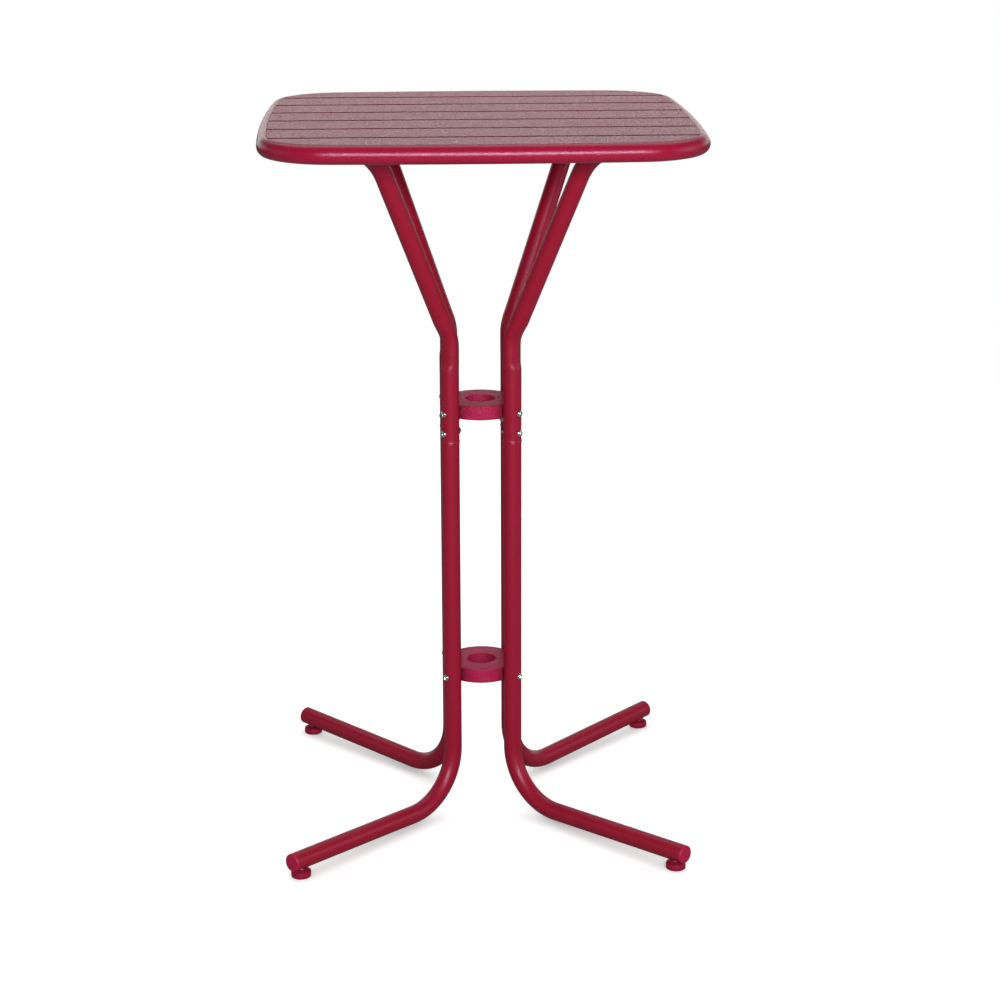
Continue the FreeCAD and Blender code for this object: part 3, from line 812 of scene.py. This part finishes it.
def padLoops(s):
    r, h = s["padRadius"], s["padHeight"]
    sideTop = h - s["padShoulder"]
    profile = [(s["treadMiddle"], s["treadDepth"]), (s["treadRadius"], s["treadDepth"])]
    profile.append((s["treadRadius"] + s["treadDepth"], 0.0))
    edge = s["bottomEdge"]
    for step in range(s["bottomSteps"] + 1):
        turn = math.pi / 2.0 * step / s["bottomSteps"]
        profile.append((r - edge * (1.0 - math.sin(turn)), edge * (1.0 - math.cos(turn))))
    line, cut = s["partingHeight"], r - s["partingDepth"]
    near, far = s["partingSpan"]
    profile += [(r, line - far), (cut, line - near), (cut, line + near), (r, line + far)]
    edge = s["topEdge"]
    for step in range(s["topSteps"] + 1):
        turn = math.pi / 2.0 * step / s["topSteps"]
        profile.append((r - edge * (1.0 - math.cos(turn)), sideTop - edge * (1.0 - math.sin(turn))))
    hubOut, hubDrop = s["hubEdge"]
    profile += [(s["hubRadius"] + hubOut, h - hubDrop), (s["hubRadius"], h), (s["studRadius"], h)]
    profile.append((s["studRadius"] * s["holeShare"], h - s["holeDepth"]))
    return [turnedLoop(radius, height, s["padCount"]) for radius, height in profile]


def studLoops(s):
    bottom = s["studBottom"]
    end = bottom + s["studLength"]
    core = s["studRadius"] - s["threadDepth"]
    threadSpan = (bottom + s["threadStart"], end - s["threadEnd"])
    loops = [turnedLoop(core, bottom, s["studCount"])]
    loops += threadLoops(s["studRadius"], s["threadDepth"], s["pitch"], *threadSpan, s["studCount"])
    loops.append(turnedLoop(core, end, s["studCount"]))
    return loops


for cornerName, cornerAngle in corners.items():
    spot = Matrix.Translation(outwardAt(cornerAngle) * feet["reach"])
    footBody = "levelling_foot_" + cornerName
    shape = newShape()
    addLoops(shape, padLoops(feet), True, True, spot)
    addPiece("footPad_" + cornerName, shape, footPlastic, footBody, ["glide_pad_" + cornerName])
    shape = newShape()
    addLoops(shape, studLoops(feet), True, True, spot)
    addPiece("footStud_" + cornerName, shape, steel, footBody, ["glide_stud_" + cornerName])
print("feet built")


# CAD nodes that stay

def dress(node, material):
    mesh = node.data
    mesh.materials.clear()
    mesh.materials.append(material)


dressing = {
    "top_rim": rimCoat,
    "slat_": slatCoat,
    "cross_rail": tubeCoat,
    "lower_leg": tubeCoat,
    "upper_ring": castCoat,
    "lower_ring": castCoat,
    "foot_cap": capPlastic,
    "foot_insert": steel,
}
for name, node in nodes.items():
    for start, material in dressing.items():
        if name.startswith(start) and not name.endswith("screws"):
            dress(node, material)
print("nodes dressed")


# Floor, light and camera

stageSettings = {
    "floorSize": 120.0,
    "floorRoughness": 0.9,
    "floorFade": (1.3, 3.6),
    "floorSeen": 0.9,
    "floorBounce": 0.25,
    "floorGlow": 0.82,
    "paintedShadowReach": 0.09,
    "roomLevel": 0.05,
    "floorGloss": 0.06,
    "roomGloss": 0.06,
    "backLevel": 1.33,
    "backSpread": (0.3, 0.9),
    "backRise": (0.12, 0.3),
}
lights = {
    "frontStrip": {
        "place": (0.25, -3.3, 1.66), "target": (0, 0, 1.0), "size": (2.4, 0.8), "power": 85.0,
        "keepOff": ["slat_%d" % number for number in range(1, 8)],
    },
    "rightFill": {"place": (3.5, -0.6, 1.3), "target": (0, 0, 0.7), "size": (2.2, 2.0), "power": 12.0},
    "leftFill": {"place": (-3.5, -0.6, 1.3), "target": (0, 0, 0.7), "size": (2.2, 2.0), "power": 4.0},
    "backFill": {
        "place": (0.0, 3.8, 2.0), "target": (0, 0, 0.7), "size": (3.0, 2.2), "power": 22.0, "mirrored": False,
    },
    "topBox": {"place": (0.0, 1.6, 3.7), "target": (0, 0, 0.4), "size": (4.0, 3.0), "power": 34.0},
}
cameraSettings = {
    "distance": 3.4557,
    "height": 1.5362,
    "pitch": 0.29103,
    "yaw": -0.00877,
    "roll": -0.00264,
    "focal": 2304.1,
    "pictureWidth": 1000.0,
    "sensor": 36.0,
    "turn": math.radians(2.0),
}


def seenShare(tree, gloss):
    # How far a ray shows the white background: in full for the camera and through glass, in part for a mirrored ray
    path = addNode(tree, "ShaderNodeLightPath").outputs
    direct = mathNode(tree, "MAXIMUM", path["Is Camera Ray"], path["Is Transmission Ray"])
    return mathNode(tree, "MAXIMUM", direct, mathNode(tree, "MULTIPLY", path["Is Glossy Ray"], gloss))


def buildFloor(s):
    half = s["floorSize"] / 2.0
    mesh = bpy.data.meshes.new("floor")
    mesh.from_pydata([(-half, -half, 0), (half, -half, 0), (half, half, 0), (-half, half, 0)], [], [(0, 1, 2, 3)])
    floor = bpy.data.objects.new("floor", mesh)
    scene.collection.objects.link(floor)
    material, tree, shader = newMaterial("floorPaper")
    shader.inputs["Roughness"].default_value = s["floorRoughness"]
    shader.inputs["Specular IOR Level"].default_value = 0.0
    shader.inputs["Emission Color"].default_value = (1.0, 1.0, 1.0, 1.0)
    seen = seenShare(tree, s["floorGloss"])
    length = addNode(tree, "ShaderNodeVectorMath", operation="LENGTH")
    feed(tree, length.inputs[0], addNode(tree, "ShaderNodeTexCoord").outputs["Object"])
    away = length.outputs["Value"]
    seenTone = mathNode(tree, "MULTIPLY", rangeNode(tree, away, s["floorFade"], (1.0, 0.0)), s["floorSeen"])
    tone = addNode(tree, "ShaderNodeMix", data_type="FLOAT")
    feed(tree, tone.inputs["Factor"], seen)
    feed(tree, tone.inputs["A"], s["floorBounce"])
    feed(tree, tone.inputs["B"], seenTone)
    feed(tree, shader.inputs["Base Color"], tone.outputs["Result"])
    # Painted shadow: the floor's white glow darkens where ambient occlusion finds the table close above it
    paintedShadow = addNode(tree, "ShaderNodeAmbientOcclusion", samples=16)
    paintedShadow.inputs["Distance"].default_value = s["paintedShadowReach"]
    glow = rangeNode(tree, away, s["floorFade"], (s["floorGlow"], 1.0))
    glow = mathNode(tree, "MULTIPLY", glow, paintedShadow.outputs["AO"])
    feed(tree, shader.inputs["Emission Strength"], mathNode(tree, "MULTIPLY", glow, seen))
    mesh.materials.append(material)


def buildWorld(s):
    # A bright backdrop behind the table, a dim room in front, and white wherever the camera looks past both
    world = bpy.data.worlds.new("studio")
    scene.world = world
    world.use_nodes = True
    tree = world.node_tree
    background = tree.nodes["Background"]
    parts = addNode(tree, "ShaderNodeSeparateXYZ")
    feed(tree, parts.inputs[0], addNode(tree, "ShaderNodeTexCoord").outputs["Generated"])
    across = rangeNode(tree, parts.outputs["Y"], s["backSpread"], (0.0, 1.0))
    upward = rangeNode(tree, parts.outputs["Z"], s["backRise"], (1.0, 0.0))
    level = addNode(tree, "ShaderNodeMix", data_type="FLOAT")
    feed(tree, level.inputs["Factor"], mathNode(tree, "MULTIPLY", across, upward))
    feed(tree, level.inputs["A"], s["roomLevel"])
    feed(tree, level.inputs["B"], s["backLevel"])
    strength = addNode(tree, "ShaderNodeMix", data_type="FLOAT")
    feed(tree, strength.inputs["Factor"], seenShare(tree, s["roomGloss"]))
    feed(tree, strength.inputs["A"], level.outputs["Result"])
    feed(tree, strength.inputs["B"], 1.0)
    background.inputs["Color"].default_value = (1.0, 1.0, 1.0, 1.0)
    feed(tree, background.inputs["Strength"], strength.outputs["Result"])


def addArea(name, s):
    data = bpy.data.lights.new(name, "AREA")
    data.shape = "RECTANGLE"
    data.size, data.size_y = s["size"]
    data.energy = s["power"]
    light = bpy.data.objects.new(name, data)
    scene.collection.objects.link(light)
    light.location = s["place"]
    light.visible_camera = False
    light.visible_glossy = s.get("mirrored", True)
    light.rotation_mode = "QUATERNION"
    toward = Vector(s["target"]) - Vector(s["place"])
    light.rotation_quaternion = toward.to_track_quat("-Z", "Y")
    if "keepOff" in s:
        flagOff(light, [nodes[label] for label in s["keepOff"]])


def flagOff(light, pieces):
    # Like a studio flag: these pieces would glare in this light when seen from behind
    flagged = bpy.data.collections.new("flagged")
    for piece in pieces:
        flagged.objects.link(piece)
    for entry in flagged.collection_objects:
        entry.light_linking.link_state = "EXCLUDE"
    light.light_linking.receiver_collection = flagged


def buildCamera(s):
    # The table keeps its frame, so the camera goes round it instead
    turn = Matrix.Rotation(-s["turn"], 4, "Z")
    pitch = s["pitch"]
    forward = Vector((0.0, math.cos(pitch), -math.sin(pitch)))
    upward = Vector((0.0, math.sin(pitch), math.cos(pitch)))
    across = Vector((1.0, 0.0, 0.0))
    roll = Matrix.Rotation(-s["roll"], 3, forward)
    spin = Matrix.Rotation(s["yaw"], 3, "Z")
    axes = [spin @ (roll @ axis) for axis in (across, upward, -forward)]
    pose = Matrix.Identity(4)
    for column, axis in enumerate(axes):
        for row in range(3):
            pose[row][column] = axis[row]
    pose.translation = Vector((0.0, -s["distance"], s["height"]))
    data = bpy.data.cameras.new("camera")
    data.sensor_width = s["sensor"]
    data.lens = s["sensor"] * s["focal"] / s["pictureWidth"]
    camera = bpy.data.objects.new("camera", data)
    scene.collection.objects.link(camera)
    camera.matrix_world = turn @ pose
    scene.camera = camera


buildFloor(stageSettings)
buildWorld(stageSettings)
for lightName, lightSettings in lights.items():
    addArea(lightName, lightSettings)
buildCamera(cameraSettings)
scene.view_settings.view_transform = "Standard"
print("stage ready")
